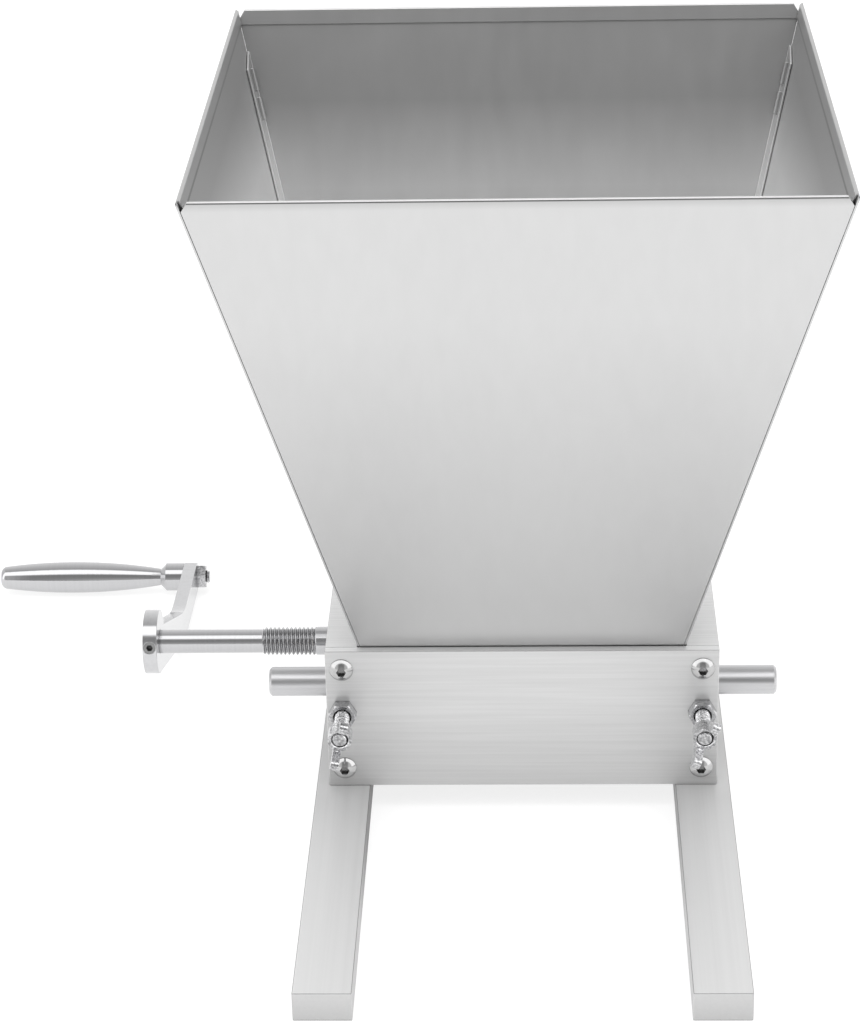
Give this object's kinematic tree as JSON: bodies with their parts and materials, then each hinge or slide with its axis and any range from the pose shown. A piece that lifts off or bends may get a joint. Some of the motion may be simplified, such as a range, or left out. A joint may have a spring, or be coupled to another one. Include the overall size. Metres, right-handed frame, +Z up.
{
  "type": "grain roller mill",
  "caption": "Hand-cranked grain roller mill: flared sheet-metal hopper over a plate body with knurled rollers, winged gap adjusters and long bar legs.",
  "frame": {"origin": "midway between the two legs and midway along them, on the surface that the mill stands on", "axes": "+X along the rollers away from the crank, +Y from the adjusters' side to the rear, +Z up"},
  "size_m": [0.3647, 0.383, 0.292],
  "materials": {
    "legs": "brushed along the bar",
    "plates": "brushed level",
    "blocks": "milled",
    "screws": "polished",
    "dark_screws": "blackened",
    "hopper": "smooth satin sheet",
    "bushes": "sintered bronze",
    "shafts": "turned",
    "rollers": "knurled",
    "crank": "satin",
    "grip": "turned and polished",
    "adjusters": "bright",
    "nuts": "bright"
  },
  "bodies": {
    "frame": {"left_leg": "legs", "right_leg": "legs", "leg_screws": "dark_screws", "left_end_plate": "plates", "right_end_plate": "plates", "front_plate": "plates", "rear_plate": "plates", "front_plate_screws": "screws", "rear_plate_screws": "screws", "hopper_front_panel": "hopper", "hopper_rear_panel": "hopper", "hopper_left_panel": "hopper", "hopper_right_panel": "hopper", "left_drive_bush": "bushes", "right_drive_bush": "bushes", "left_lock_nut": "nuts", "right_lock_nut": "nuts"},
    "drive": {"drive_shaft": "shafts", "drive_roller": "rollers", "crank": "crank", "crank_set_screw": "screws", "grip_spindle": "shafts", "grip_spindle_nut": "nuts"},
    "grip": {"grip": "grip"},
    "idler_carriage": {"left_bearing_block": "blocks", "right_bearing_block": "blocks", "left_block_bush": "bushes", "right_block_bush": "bushes"},
    "idler": {"idler_axle": "shafts", "idler_roller": "rollers"},
    "left_adjuster": {"left_adjuster_screw": "adjusters", "left_wing": "adjusters"},
    "right_adjuster": {"right_adjuster_screw": "adjusters", "right_wing": "adjusters"}
  },
  "joints": [
    {"name": "crank_turn", "type": "hinge", "parent": "frame", "child": "drive", "pos_m": [0, 0.0178, 0.0465], "axis": [1, 0, 0], "continuous": true},
    {"name": "grip_spin", "type": "hinge", "parent": "drive", "child": "grip", "pos_m": [-0.2, 0.1556, 0.0076], "axis": [1, 0, 0], "continuous": true},
    {"name": "gap_slide", "type": "slide", "parent": "frame", "child": "idler_carriage", "axis": [0, 1, 0], "range_m": [-0.0012, 0.0012]},
    {"name": "idler_spin", "type": "hinge", "parent": "idler_carriage", "child": "idler", "pos_m": [0, -0.0178, 0.0465], "axis": [1, 0, 0], "continuous": true},
    {"name": "left_wing_turn", "type": "hinge", "parent": "idler_carriage", "child": "left_adjuster", "pos_m": [-0.0725, -0.0435, 0.0465], "axis": [0, 1, 0], "range_deg": [-433, 433]},
    {"name": "right_wing_turn", "type": "hinge", "parent": "idler_carriage", "child": "right_adjuster", "pos_m": [0.0725, -0.0435, 0.0465], "axis": [0, 1, 0], "range_deg": [-433, 433]}
  ],
  "couplings": [
    {"joint": "left_wing_turn", "follows": "gap_slide", "rad_per_m": 6283.2},
    {"joint": "right_wing_turn", "follows": "gap_slide", "rad_per_m": 6283.2}
  ]
}
